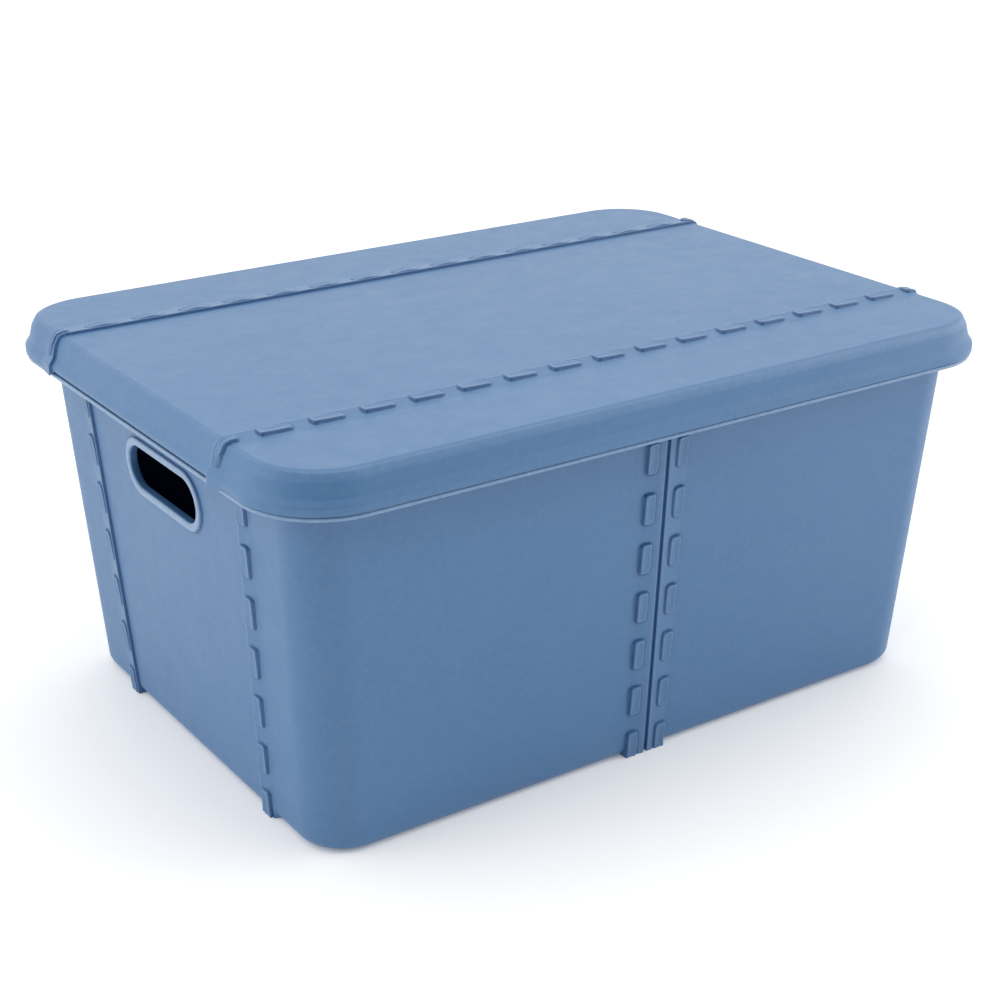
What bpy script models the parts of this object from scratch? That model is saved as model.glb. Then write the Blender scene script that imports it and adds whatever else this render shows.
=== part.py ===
"""Lidded storage crate: a tapered moulded tub and a lift-off lid, both with a stitched-leather relief.

Metres, +Z up. The origin is on the floor under the middle of the crate and +X runs along its length.
"""
import math

import bmesh
import bpy
from mathutils import Matrix, Vector

MM = 0.001

# Overall sizes
LID_LENGTH = 542 * MM          # over the lid's flared lip
LID_WIDTH = 400 * MM
HEIGHT = 256 * MM              # floor to the flat of the lid
WALL = 2.5 * MM                # every moulded wall
FIT = 0.3 * MM                 # clearance between touching pieces
SIDE_FIT = 0.6 * MM            # clearance round the rim, under the lid

# Lid
LID_DROP = 23.5 * MM           # lid's flat down to its bottom edge
LID_CORNER = 41 * MM           # plan radius at the edge of the flat
LID_FILLET = 5.9 * MM
LIP_REACH = 5.2 * MM           # lip beyond the top of the skirt
LIP_HEIGHT = 5.2 * MM
LIP_FLARE = 4.2 * MM           # height over which the skirt flares into the lip
SKIRT_DRAFT = 2.2 * MM
NOTCH_RISE = 1.2 * MM          # how much shorter the skirt is between the seams, as a finger gap

# Tub
RIM_BEAD = 2.4 * MM            # thickness of the bead under the lid's lip
BEAD_INSET = 1.0 * MM          # bead's edge inside the lip's edge
BEAD_GAP = 0.9 * MM            # shadow gap between the lip and the bead
OVERHANG = 18.8 * MM           # bead's edge beyond the wall
TUB_DRAFT = 14.2 * MM          # wall's slope from the bead to the floor
TUB_CORNER = 30 * MM
FOOT_FILLET = 8.5 * MM

# Seams in relief: a wedge with a step on one side, and a row of stitches on it
STEP = 2.0 * MM
BAND = 15.5 * MM
FEATHER = 0.12 * MM            # height left at the wedge's thin side
STITCH_LENGTH = 20.5 * MM
STITCH_WIDTH = 8.0 * MM
STITCH_TOP = 2.6 * MM          # above the plain surface
STITCH_MARGIN = 2.6 * MM
STITCH_CORNER = 2.0 * MM
STITCH_EDGE = 0.7 * MM
LID_SEAM_INSET = 87.5 * MM     # step in from the lip's long edge
END_SEAM_INSET = 75.2 * MM     # step in from the tub's long wall, on its ends
LID_PITCH = 33.2 * MM
LID_END_GAP = 8.0 * MM         # least gap between a lid's last flat stitch and the folded one
FOLD_LIFT = 1.2 * MM           # folded stitch's lower end above the lip's flare
TUB_PITCH = 33.8 * MM
LOWEST_STITCH = 8.0 * MM       # middle of the lowest stitch above the floor
GROOVE = 1.6 * MM              # open gap between the two wedges of a side seam
SIDE_STITCH = 7.3 * MM         # side seam's middle to its stitches

# Handles
GRIP_LENGTH = 93 * MM
GRIP_HEIGHT = 28.5 * MM
GRIP_BAND = 6.0 * MM           # width of the raised ring
GRIP_RISE = 2.0 * MM           # ring outside the wall
GRIP_SLEEVE = 4.0 * MM         # sleeve inside the wall's outer face
GRIP_DROP = 42.6 * MM           # grip's middle below the bead's top

CORNER_STEPS = 8
FILLET_STEPS = 3
SINK = 1.2 * MM                # how deep relief is rooted in the wall
SOLID_ROOT = 12 * MM           # root of relief that crosses the foot's fillet
SAME_LEVEL = 0.03 * MM         # points closer than this in height are on one face

# Sizes that follow
LID_BOTTOM = HEIGHT - LID_DROP
SKIRT_HALF = Vector((LID_LENGTH / 2 - LIP_REACH, LID_WIDTH / 2 - LIP_REACH))
FLAT_HALF = SKIRT_HALF - Vector((LID_FILLET, LID_FILLET))
LIP_HALF = SKIRT_HALF + Vector((LIP_REACH, LIP_REACH))
BEAD_TOP = LID_BOTTOM - BEAD_GAP
BEAD_BOTTOM = BEAD_TOP - RIM_BEAD
GRIP_LEVEL = BEAD_TOP - GRIP_DROP
BEAD_HALF = LIP_HALF - Vector((BEAD_INSET, BEAD_INSET))
RIM_TOP = HEIGHT - WALL - FIT
RIM_HALF = SKIRT_HALF - Vector((WALL + SIDE_FIT, WALL + SIDE_FIT))
MOUTH_HALF = BEAD_HALF - Vector((OVERHANG, OVERHANG))
TAPER = TUB_DRAFT / BEAD_TOP
LID_SEAM = LID_WIDTH / 2 - LID_SEAM_INSET
LAST_STITCH = FLAT_HALF.x - (STITCH_WIDTH + STITCH_LENGTH) / 2 - LID_END_GAP
LID_STITCHES = 2 * int(LAST_STITCH / LID_PITCH) + 1
TUB_STITCHES = 1 + int((BEAD_BOTTOM - LOWEST_STITCH - STITCH_LENGTH / 2) / TUB_PITCH)


def grown(half, amount):
    """A pair of half sizes, larger by amount on every side."""
    return Vector((half.x + amount, half.y + amount))


def wall_half(z, inset=0.0):
    """Half sizes of the tub's tapered wall at height z."""
    return grown(MOUTH_HALF, -TAPER * (BEAD_TOP - z) - inset)


def link(name, bm, collection):
    bmesh.ops.recalc_face_normals(bm, faces=bm.faces)
    mesh = bpy.data.meshes.new(name)
    bm.to_mesh(mesh)
    bm.free()
    thing = bpy.data.objects.new(name, mesh)
    collection.objects.link(thing)
    return thing


def rounded_ring(bm, half, corner, z):
    """Edges of a rounded rectangle at height z."""
    corner = min(corner, half.x, half.y)
    points = []
    for quarter, (sx, sy) in enumerate(((1, 1), (-1, 1), (-1, -1), (1, -1))):
        centre = Vector((sx * (half.x - corner), sy * (half.y - corner)))
        for step in range(CORNER_STEPS + 1):
            angle = (quarter + step / CORNER_STEPS) * math.pi / 2
            points.append((centre.x + corner * math.cos(angle), centre.y + corner * math.sin(angle), z))
    verts = [bm.verts.new(point) for point in points]
    return [bm.edges.new((verts[i], verts[(i + 1) % len(verts)])) for i in range(len(verts))]


def loft(name, sections, collection):
    """A closed solid through rounded rectangles, each a (half sizes, corner radius, height)."""
    bm = bmesh.new()
    rings = [rounded_ring(bm, half, corner, z) for half, corner, z in sections]
    for lower, upper in zip(rings, rings[1:]):
        bmesh.ops.bridge_loops(bm, edges=lower + upper)
    for ring in (rings[0], rings[-1]):
        bmesh.ops.contextual_create(bm, geom=ring)
    return link(name, bm, collection)


def boolean(target, cutter, operation):
    """Applies one exact Boolean to target; the second solid is used up when it is joined."""
    modifier = target.modifiers.new(operation.lower(), 'BOOLEAN')
    modifier.operation = operation
    modifier.solver = 'EXACT'
    modifier.object = cutter
    bpy.context.view_layer.update()
    evaluated = target.evaluated_get(bpy.context.evaluated_depsgraph_get())
    mesh = bpy.data.meshes.new_from_object(evaluated)
    target.modifiers.clear()
    old = target.data
    target.data = mesh
    bpy.data.meshes.remove(old)
    if operation == 'UNION':
        bpy.data.objects.remove(cutter)


def plastic(name, colour, roughness):
    material = bpy.data.materials.new(name)
    material.use_nodes = True
    shader = material.node_tree.nodes['Principled BSDF']
    shader.inputs['Base Color'].default_value = (*colour, 1.0)
    shader.inputs['Roughness'].default_value = roughness
    shader.inputs['Metallic'].default_value = 0.0
    return material


def shade(thing, material):
    thing.data.materials.clear()
    thing.data.materials.append(material)
    thing.data.shade_smooth()
    thing.data.set_sharp_from_angle(angle=math.radians(30))


def offset_line(points, distance):
    """An open outline of (x, z) points moved sideways, to the left of its direction."""
    moved = []
    for i, point in enumerate(points):
        before = points[max(i - 1, 0)]
        after = points[min(i + 1, len(points) - 1)]
        normals = []
        for a, b in ((before, point), (point, after)):
            run = b - a
            if run.length > 0:
                normals.append(Vector((-run.y, run.x)).normalized())
        mitre = sum(normals, Vector((0.0, 0.0))).normalized()
        moved.append(point + mitre * (distance / mitre.dot(normals[0])))
    return moved


def prism(name, front, back, place, collection):
    """A solid between two outlines of the same number of (x, z) points, set at two depths by place."""
    bm = bmesh.new()
    loops = []
    for depth, outline in enumerate((front, back)):
        verts = [bm.verts.new(place(point, depth)) for point in outline]
        loops.append([bm.edges.new((verts[i], verts[(i + 1) % len(verts)])) for i in range(len(verts))])
    bmesh.ops.bridge_loops(bm, edges=loops[0] + loops[1])
    for loop in loops:
        bmesh.ops.contextual_create(bm, geom=loop)
    bmesh.ops.connect_verts_nonplanar(bm, angle_limit=math.radians(0.01), faces=bm.faces)
    return link(name, bm, collection)


def stitch(name, length, root, rise, placement, collection):
    """A raised pad, long in its own X, standing along its own Z from -root to rise."""
    bm = bmesh.new()
    bmesh.ops.create_cube(bm, size=1.0)
    bmesh.ops.scale(bm, vec=(length, STITCH_WIDTH, root + rise), verts=bm.verts)
    bmesh.ops.translate(bm, vec=(0, 0, (rise - root) / 2), verts=bm.verts)
    upright = [e for e in bm.edges if abs(e.verts[0].co.z - e.verts[1].co.z) > root]
    bmesh.ops.bevel(bm, geom=upright, offset=STITCH_CORNER, segments=2, profile=0.5, affect='EDGES')
    top = [e for e in bm.edges if all(abs(v.co.z - rise) < SAME_LEVEL for v in e.verts)]
    bmesh.ops.bevel(bm, geom=top, offset=STITCH_EDGE, segments=1, profile=0.5, affect='EDGES')
    bmesh.ops.transform(bm, matrix=placement, verts=bm.verts)
    return link(name, bm, collection)


def facing(origin, along, outward):
    """A placement whose X runs along a line and whose Z points out of a surface."""
    z = outward.normalized()
    x = along.normalized()
    y = z.cross(x)
    return Matrix.Translation(origin) @ Matrix((x, y, z)).transposed().to_4x4()


def lid_outline(drop):
    """The lid's section along its length, from one bottom edge over the top to the other."""
    side = []
    side.append(Vector((LIP_HALF.x, LID_BOTTOM - drop)))
    side.append(Vector((LIP_HALF.x, LID_BOTTOM + LIP_HEIGHT)))
    side.append(Vector((SKIRT_HALF.x + SKIRT_DRAFT, LID_BOTTOM + LIP_HEIGHT + LIP_FLARE)))
    for step in range(FILLET_STEPS + 1):
        angle = step / FILLET_STEPS * math.pi / 2
        side.append(Vector((FLAT_HALF.x + LID_FILLET * math.cos(angle),
                            HEIGHT - LID_FILLET + LID_FILLET * math.sin(angle))))
    mirrored = [Vector((-p.x, p.y)) for p in reversed(side)]
    return side + mirrored


def lid_shell(collection, cutters):
    """The plain lid: flat, filleted edge, drafted skirt and flared lip, over a hollow."""
    outside = [
        (LIP_HALF, LID_CORNER + LID_FILLET + LIP_REACH, LID_BOTTOM),
        (LIP_HALF, LID_CORNER + LID_FILLET + LIP_REACH, LID_BOTTOM + LIP_HEIGHT),
        (grown(SKIRT_HALF, SKIRT_DRAFT), LID_CORNER + LID_FILLET + SKIRT_DRAFT,
         LID_BOTTOM + LIP_HEIGHT + LIP_FLARE),
    ]
    for step in range(FILLET_STEPS + 1):
        angle = step / FILLET_STEPS * math.pi / 2
        reach = LID_FILLET * math.cos(angle)
        outside.append((grown(FLAT_HALF, reach), LID_CORNER + reach,
                        HEIGHT - LID_FILLET + LID_FILLET * math.sin(angle)))
    lid = loft('lid', outside, collection)
    bare = LID_CORNER + LID_FILLET
    hollow = loft('lid_hollow', [
        (grown(LIP_HALF, -WALL), bare + LIP_REACH - WALL, LID_BOTTOM - WALL),
        (grown(LIP_HALF, -WALL), bare + LIP_REACH - WALL, LID_BOTTOM + LIP_HEIGHT - FIT),
        (grown(SKIRT_HALF, SKIRT_DRAFT - WALL), bare + SKIRT_DRAFT - WALL,
         LID_BOTTOM + LIP_HEIGHT + LIP_FLARE - FIT),
        (grown(SKIRT_HALF, -WALL), bare - WALL, HEIGHT - LID_FILLET),
        (grown(FLAT_HALF, -WALL / 2), LID_CORNER - WALL / 2, HEIGHT - WALL),
    ], cutters)
    boolean(lid, hollow, 'DIFFERENCE')
    for end in (1, -1):
        boolean(lid, finger_gap(end, cutters), 'DIFFERENCE')
    return lid


def finger_gap(end, cutters):
    """A shallow cut from the lip's bottom edge, between the seams of one end."""
    bm = bmesh.new()
    bmesh.ops.create_cube(bm, size=2.0)
    bmesh.ops.scale(bm, vec=(2 * LIP_REACH, LID_SEAM - FIT, NOTCH_RISE), verts=bm.verts)
    bmesh.ops.translate(bm, vec=(end * LIP_HALF.x, 0, LID_BOTTOM), verts=bm.verts)
    return link('finger_gap', bm, cutters)


def add_lid_seam(lid, side, collection):
    """One lengthwise seam on the lid: side is +1 or -1."""
    outline = lid_outline(STEP)
    inner = list(reversed(offset_line(lid_outline(0.0), SINK)))
    crest = offset_line(outline, -STEP) + inner
    faded = offset_line(lid_outline(0.0), -FEATHER) + inner

    def place(point, depth):
        return (point.x, side * (LID_SEAM + depth * BAND), point.y)

    boolean(lid, prism('band', crest, faded, place, collection), 'UNION')
    middle = side * (LID_SEAM + STITCH_MARGIN + STITCH_WIDTH / 2)
    for i in range(LID_STITCHES):
        x = (i - (LID_STITCHES - 1) / 2) * LID_PITCH
        pad = stitch('stitch', STITCH_LENGTH, SINK, STITCH_TOP,
                     facing(Vector((x, middle, HEIGHT)), Vector((1, 0, 0)), Vector((0, 0, 1))), collection)
        boolean(lid, pad, 'UNION')
    add_wrapped_stitches(lid, middle, collection)


def add_wrapped_stitches(lid, middle, collection):
    """The stitch at each end of a lid seam, folded over the edge and down the skirt."""
    skirt_foot, *fillet = lid_outline(0.0)[2:4 + FILLET_STEPS]
    low = skirt_foot + (fillet[0] - skirt_foot).normalized() * FOLD_LIFT
    fold = [low] + fillet + [Vector((FLAT_HALF.x - STITCH_WIDTH / 2, HEIGHT))]
    outer = offset_line(fold, -STITCH_TOP)
    inner = list(reversed(offset_line(fold, SINK)))
    for end in (1, -1):
        def place(point, depth, end=end):
            return (end * point.x, middle + (depth - 0.5) * STITCH_WIDTH, point.y)

        boolean(lid, prism('fold', outer + inner, outer + inner, place, collection), 'UNION')


def build_lid(collection, cutters):
    lid = lid_shell(collection, cutters)
    for side in (1, -1):
        add_lid_seam(lid, side, collection)
    return lid


def tub_body(collection, cutters):
    """The rim, a channel open downward, round a tapered solid that is hollowed later."""
    rim_corner = LID_CORNER + LID_FILLET - WALL - SIDE_FIT
    bead_corner = LID_CORNER + LID_FILLET + LIP_REACH - BEAD_INSET
    tub = loft('tub', [
        (BEAD_HALF, bead_corner, BEAD_BOTTOM),
        (BEAD_HALF, bead_corner, BEAD_TOP),
        (grown(RIM_HALF, WALL), rim_corner + WALL, BEAD_TOP + FIT),
        (RIM_HALF, rim_corner, BEAD_TOP + WALL),
        (RIM_HALF, rim_corner, HEIGHT - LID_FILLET - FIT),
        (grown(FLAT_HALF, -WALL / 2 - SIDE_FIT), LID_CORNER - WALL / 2 - SIDE_FIT, RIM_TOP),
    ], collection)
    channel = loft('rim_channel', [
        (grown(RIM_HALF, -WALL), rim_corner - WALL, BEAD_BOTTOM - WALL),
        (grown(RIM_HALF, -WALL), rim_corner - WALL, HEIGHT - LID_FILLET - WALL),
        (grown(FLAT_HALF, -2 * WALL), LID_CORNER - 2 * WALL, RIM_TOP - WALL),
    ], cutters)
    boolean(tub, channel, 'DIFFERENCE')
    boolean(tub, tapered_box('wall', 0.0, RIM_TOP - FIT, collection), 'UNION')
    return tub


def tapered_box(name, inset, top, collection):
    """The tub's wall as a solid with a filleted foot, or with an inset the hollow inside it."""
    radius = max(FOOT_FILLET - inset, FIT)
    corner = TUB_CORNER - inset
    sections = []
    for step in range(FILLET_STEPS + 1):
        angle = step / FILLET_STEPS * math.pi / 2
        reach = radius * (1 - math.sin(angle))
        z = inset + radius * (1 - math.cos(angle))
        sections.append((wall_half(z, inset + reach), corner - reach / 2, z))
    sections.append((wall_half(top, inset), corner, top))
    return loft(name, sections, collection)


def add_end_seam(tub, end, side, collection):
    """One upright seam on an end wall: end picks the wall and side the half of it."""
    def section(z):
        x = wall_half(z).x
        y = wall_half(z).y - END_SEAM_INSET
        root = x - SOLID_ROOT
        return [(root, y, z), (x + STEP, y, z), (x + FEATHER, y + BAND, z), (root, y + BAND, z)]

    levels = [section(0.0), section(RIM_TOP - WALL / 2)]

    def place(point, depth):
        return (end * point[0], side * point[1], point[2])

    boolean(tub, prism('end_band', levels[0], levels[1], place, collection), 'UNION')
    for i in range(TUB_STITCHES):
        low, high, root = stitch_span(i)
        z = (low + high) / 2
        y = wall_half(z).y - END_SEAM_INSET + STITCH_MARGIN + STITCH_WIDTH / 2
        along = Vector((end * TAPER, side * TAPER, 1))
        outward = Vector((end, 0, -TAPER))
        along = along - outward * along.dot(outward) / outward.length_squared
        origin = Vector((end * wall_half(z).x, side * y, z))
        pad = stitch('end_stitch', high - low, root, STITCH_TOP,
                     facing(origin, along, outward), collection)
        boolean(tub, pad, 'UNION')


def stitch_span(i):
    """Bottom and top of the i-th stitch of the tub, and how deep it has to be rooted."""
    middle = LOWEST_STITCH + i * TUB_PITCH
    low = max(middle - STITCH_LENGTH / 2, FIT)
    high = middle + STITCH_LENGTH / 2
    root = SOLID_ROOT if low < FOOT_FILLET else SINK
    return low, high, root


def add_side_seam(tub, side, collection):
    """The seam up the middle of a long wall: two wedges that meet at a narrow groove."""
    for hand in (1, -1):
        def section(z, hand=hand):
            y = wall_half(z).y
            root = y - SOLID_ROOT
            near = hand * GROOVE / 2
            far = hand * BAND
            return [(near, root, z), (near, y + STEP, z), (far, y + FEATHER, z), (far, root, z)]

        def place(point, depth):
            return (point[0], side * point[1], point[2])

        wedge = prism('side_band', section(0.0), section(RIM_TOP - WALL / 2), place, collection)
        boolean(tub, wedge, 'UNION')
        for i in range(TUB_STITCHES):
            low, high, root = stitch_span(i)
            z = (low + high) / 2
            x = hand * (SIDE_STITCH + STITCH_WIDTH / 2)
            pad = stitch('side_stitch', high - low, root, STITCH_TOP,
                         facing(Vector((x, side * wall_half(z).y, z)), Vector((0, side * TAPER, 1)),
                                Vector((0, side, -TAPER))), collection)
            boolean(tub, pad, 'UNION')


def grip_outline(grow):
    """A stadium of (y, z) points round a handle, grown on every side."""
    radius = GRIP_HEIGHT / 2 + grow
    reach = GRIP_LENGTH / 2 + grow - radius
    points = []
    for way in (1, -1):
        for step in range(CORNER_STEPS + 1):
            angle = way * math.pi / 2 - step / CORNER_STEPS * math.pi
            across = way * reach + radius * math.cos(angle)
            points.append(Vector((across, GRIP_LEVEL + radius * math.sin(angle))))
    return points


def grip_solid(name, end, grow, inner, outer, collection, round_off=0.0):
    """A stadium block across an end wall, from inner to outer measured from the wall's face."""
    def place(point, depth):
        x = wall_half(point.y).x + (outer if depth else inner)
        return (end * x, point.x, point.y)

    return prism(name, grip_outline(grow), grip_outline(grow - round_off), place, collection)


def build_tub(collection, cutters):
    tub = tub_body(collection, cutters)
    for end in (1, -1):
        for side in (1, -1):
            add_end_seam(tub, end, side, collection)
    for side in (1, -1):
        add_side_seam(tub, side, collection)
    boolean(tub, tapered_box('tub_hollow', WALL, RIM_TOP + WALL, cutters), 'DIFFERENCE')
    for end in (1, -1):
        ring = grip_solid('ring', end, GRIP_BAND, -GRIP_SLEEVE, GRIP_RISE, collection, GRIP_RISE / 2)
        boolean(tub, ring, 'UNION')
        opening = grip_solid('grip_opening', end, 0.0, -2 * GRIP_SLEEVE, 2 * GRIP_SLEEVE, cutters)
        boolean(tub, opening, 'DIFFERENCE')
    return tub


def main():
    for thing in list(bpy.data.objects):
        bpy.data.objects.remove(thing)
    crate = bpy.data.collections.new('lidded_storage_crate')
    cutters = bpy.data.collections.new('cutters')
    for collection in (crate, cutters):
        bpy.context.scene.collection.children.link(collection)
    blue = (0.135, 0.258, 0.418)
    shade(build_tub(crate, cutters), plastic('tub_plastic', blue, 0.45))
    shade(build_lid(crate, cutters), plastic('lid_plastic', blue, 0.45))
    for cutter in cutters.objects:
        cutter.hide_render = True
        cutter.display_type = 'WIRE'


main()
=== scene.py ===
"""Looks of the lidded storage crate: a fine tub and a fine lid, in satin plastic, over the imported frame.

Lengths are in metres in the frame: the origin is on the floor under the middle, +X along the crate, +Z up.
"""
import math

import bmesh
import bpy
import numpy as np
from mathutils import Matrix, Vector


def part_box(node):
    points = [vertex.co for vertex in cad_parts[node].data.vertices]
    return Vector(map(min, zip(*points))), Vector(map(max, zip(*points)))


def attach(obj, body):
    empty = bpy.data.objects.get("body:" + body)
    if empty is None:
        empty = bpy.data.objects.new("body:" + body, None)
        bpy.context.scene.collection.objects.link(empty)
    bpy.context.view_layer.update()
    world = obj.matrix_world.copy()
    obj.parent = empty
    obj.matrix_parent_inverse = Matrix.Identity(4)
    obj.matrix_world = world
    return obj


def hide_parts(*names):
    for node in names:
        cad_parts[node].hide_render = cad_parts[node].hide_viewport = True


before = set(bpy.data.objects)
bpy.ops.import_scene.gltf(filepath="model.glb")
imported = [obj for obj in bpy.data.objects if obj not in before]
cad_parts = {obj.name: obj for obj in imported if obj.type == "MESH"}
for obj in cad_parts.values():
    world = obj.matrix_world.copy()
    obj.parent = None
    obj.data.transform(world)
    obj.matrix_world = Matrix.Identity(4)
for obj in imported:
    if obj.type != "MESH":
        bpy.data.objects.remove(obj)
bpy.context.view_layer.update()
MM = 0.001

# Sizes read from the frame
LID_LOW, LID_HIGH = (np.array(corner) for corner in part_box("lid"))
TUB_HIGH = np.array(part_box("tub")[1])

# The lid's own sizes
WALL = 2.5 * MM
STITCH_TOP = 2.6 * MM          # above the plain surface
STEP = 2.0 * MM                # seam's step
HEIGHT = LID_HIGH[2] - STITCH_TOP
LIP_HALF = np.array((LID_HIGH[0] - STEP, LID_HIGH[1]))
LIP_REACH = 5.2 * MM
LIP_HEIGHT = 5.2 * MM
LIP_FLARE = 4.2 * MM
LID_DROP = 23.5 * MM
LID_CORNER = 41 * MM
LID_FILLET = 5.9 * MM
SKIRT_DRAFT = 2.2 * MM
NOTCH_RISE = 1.9 * MM
TAB_DROP = HEIGHT - LID_DROP - LID_LOW[2]
FLAT_HALF = LIP_HALF - LIP_REACH - LID_FILLET
LID_BOTTOM = HEIGHT - LID_DROP

# The tub's own sizes
BEAD_HALF = TUB_HIGH[:2]
BEAD_GAP = 0.9 * MM
BEAD_TOP = LID_BOTTOM - BEAD_GAP
RIM_BEAD = 2.4 * MM
BEAD_HIGH = BEAD_TOP + 0.5 * MM  # crown of the bead
OVERHANG = 18.8 * MM
MOUTH_HALF = BEAD_HALF - OVERHANG
TUB_DRAFT = 14.2 * MM
TAPER = TUB_DRAFT / BEAD_TOP
TUB_CORNER = 30 * MM
BEAD_CORNER = LID_CORNER + LID_FILLET + LIP_REACH - 1.0 * MM
FOOT_FILLET = 8.5 * MM
RIM_TOP = TUB_HIGH[2]
SIDE_FIT = 0.6 * MM
RIM_HALF = LIP_HALF - LIP_REACH - WALL - SIDE_FIT
RIM_CORNER = LID_CORNER + LID_FILLET - WALL - SIDE_FIT

# Seams and stitches
BAND = 15.5 * MM
STITCH_LENGTH = 20.5 * MM
STITCH_WIDTH = 8.0 * MM
STITCH_MARGIN = 2.6 * MM
STITCH_CORNER = 2.0 * MM
LID_SEAM = LIP_HALF[1] - 87.5 * MM
LID_STITCH_LINE = LID_SEAM + STITCH_MARGIN + STITCH_WIDTH / 2
END_SEAM_INSET = 75.2 * MM
LID_PITCH = 33.2 * MM
LID_SIDE_STITCHES = 7          # on each side of the middle one
TUB_PITCH = 33.8 * MM
TUB_STITCHES = 7
LOWEST_STITCH = 8.0 * MM
GROOVE = 2.4 * MM
SIDE_STITCH = 7.3 * MM

# Grips
GRIP_LENGTH = 93 * MM
GRIP_HEIGHT = 28.5 * MM
GRIP_BAND = 6.0 * MM
GRIP_RISE = 2.0 * MM
GRIP_SLEEVE = 4.0 * MM
GRIP_LEVEL = BEAD_TOP - 42.6 * MM
GRIP_SIDE_ROOM = 11.5 * MM     # from a grip's end to the border of its patch
GRIP_EDGE_ROOM = 4.5 * MM      # from its ring to that border, above and below

# Lines that the walls are built on
SIDE_FIXED = BAND + 3 * MM     # columns this near a long wall's middle stay upright
END_SEAM = MOUTH_HALF[1] - END_SEAM_INSET
END_FIXED = (END_SEAM - 3 * MM, END_SEAM + BAND + 3 * MM)
STRAIGHT = MOUTH_HALF - TUB_CORNER
SOLE_EDGE = 4 * MM             # width of the strip round the underside
INNER_START = 8 * MM           # top of the inner walls' rows under the rim

# Fineness of the meshes
QUARTER = np.linspace(0, math.pi / 2, 17)  # angles round a corner
EDGE_LINES = np.array((-1.7, -0.95, -0.5, -0.18, 0.06, 0.3, 0.6, 1.05, 1.8, 3.0)) * MM
STEP_LINES = np.array((-1.8, -0.8, -0.3, -0.07, 0.07, 0.3, 0.7, 1.4)) * MM
MERGE = 2e-6

# Soft edges of the relief
CREST = 0.75 * MM              # width of a stitch's rounded edge
FOOT = 0.14 * MM               # how far its side leans out
MOAT = 0.50 * MM               # depth of the hollow pressed in round a stitch
MOAT_WIDTH = 1.0 * MM
DISH = 0.38 * MM               # how far a stitch's middle sinks
DISH_EDGE = (1.0 * MM, 2.6 * MM)  # and how far inside its edge that starts and ends
LEVEL_GAP = 0.1 * MM           # the stitches stay this far under the solid part's
FULL_STAND = 1.2 * MM          # a stitch this far over its base has its full painted highlight and painted shade
NEAR_STITCH = 3 * MM           # reach of a stitch's painted highlight, painted shade and hollow
NEAR_FOLD = 2 * MM             # and of a folded stitch's
STITCH_HIGHLIGHT = (-0.75 * MM, 0.45 * MM)  # painted highlight line: middle from a stitch's outline, and width
# painted shade line at a stitch's foot: middle from its outline, and width
STITCH_SHADE = (0.15 * MM, 0.60 * MM)
STEP_CREST = 1.1 * MM          # width of a seam step's rounded edge
STEP_SIDE = 0.09 * MM          # how far its side leans
STEP_HIGHLIGHT = (0.7 * MM, 0.55 * MM)      # painted highlight line: middle from a step, and width
# painted shade line at a step's foot: middle from the step, and width
STEP_SHADE = (-0.15 * MM, 0.6 * MM)
FRONT_LEAN = 0.55 * MM         # the lid's front stitches sink to their right ends
BACK_BOW = 1.3 * MM            # the lid's back stitches sink to both ends
LID_BEND = 0.18 * MM           # the long sides of the lid's stitches bend in plan
WALL_LEAN = 0.45 * MM          # the walls' stitches sink to their lower ends
WALL_BEND = 0.15 * MM
FOLD_NARROWING = 0.32          # share of its width that a folded stitch loses
FOLD_SUNK = 0.15 * MM          # folded stitches stay this far under the solid part's
UPPER_REACH = 3.4 * MM         # the lid's upper edge turns down here
UPPER_DROP = 1.1 * MM
LOWER_REACH = 6.0 * MM         # and meets the skirt here
LOWER_DROP = 5.8 * MM
BAND_HIGHLIGHT = 0.8               # strength of the painted highlight on the turn between them, on the long sides only
WAVE = 0.10 * MM               # slow unevenness of the moulded walls


def smooth(value, low, high):
    t = np.clip((value - low) / (high - low), 0.0, 1.0)
    return t * t * (3 - 2 * t)


def rounded(points, radii, steps=5):
    """An open outline whose inner corners are replaced by arcs."""
    points = [np.array(p, float) for p in points]
    result = [points[0]]
    for before, corner, after, radius in zip(points, points[1:], points[2:], radii):
        toward = (before - corner) / np.linalg.norm(before - corner)
        away = (after - corner) / np.linalg.norm(after - corner)
        turn = math.pi - math.acos(np.clip(toward @ away, -1, 1))
        if radius <= 0 or turn < 0.02:
            result.append(corner)
            continue
        reach = radius * math.tan(turn / 2)
        start, end = corner + toward * reach, corner + away * reach
        centre = corner + (toward + away) / np.linalg.norm(toward + away) * radius / math.cos(turn / 2)
        first, last = start - centre, end - centre
        for step in range(steps + 1):
            t = step / steps
            mixed = (math.sin((1 - t) * turn) * first + math.sin(t * turn) * last) / math.sin(turn)
            result.append(centre + mixed)
    result.append(points[-1])
    return np.array(result)


def lines(*groups, gap=0.08 * MM):
    """Sorted positions from several groups, without near duplicates."""
    values = np.sort(np.concatenate([np.atleast_1d(g) for g in groups]))
    kept = [values[0]]
    for value in values[1:]:
        if value - kept[-1] > gap:
            kept.append(value)
    return np.array(kept)


def both_ends(middle, length):
    """Lines round the two ends of a stitch."""
    return np.concatenate((middle - length / 2 + EDGE_LINES, [middle], middle + length / 2 - EDGE_LINES))


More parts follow.
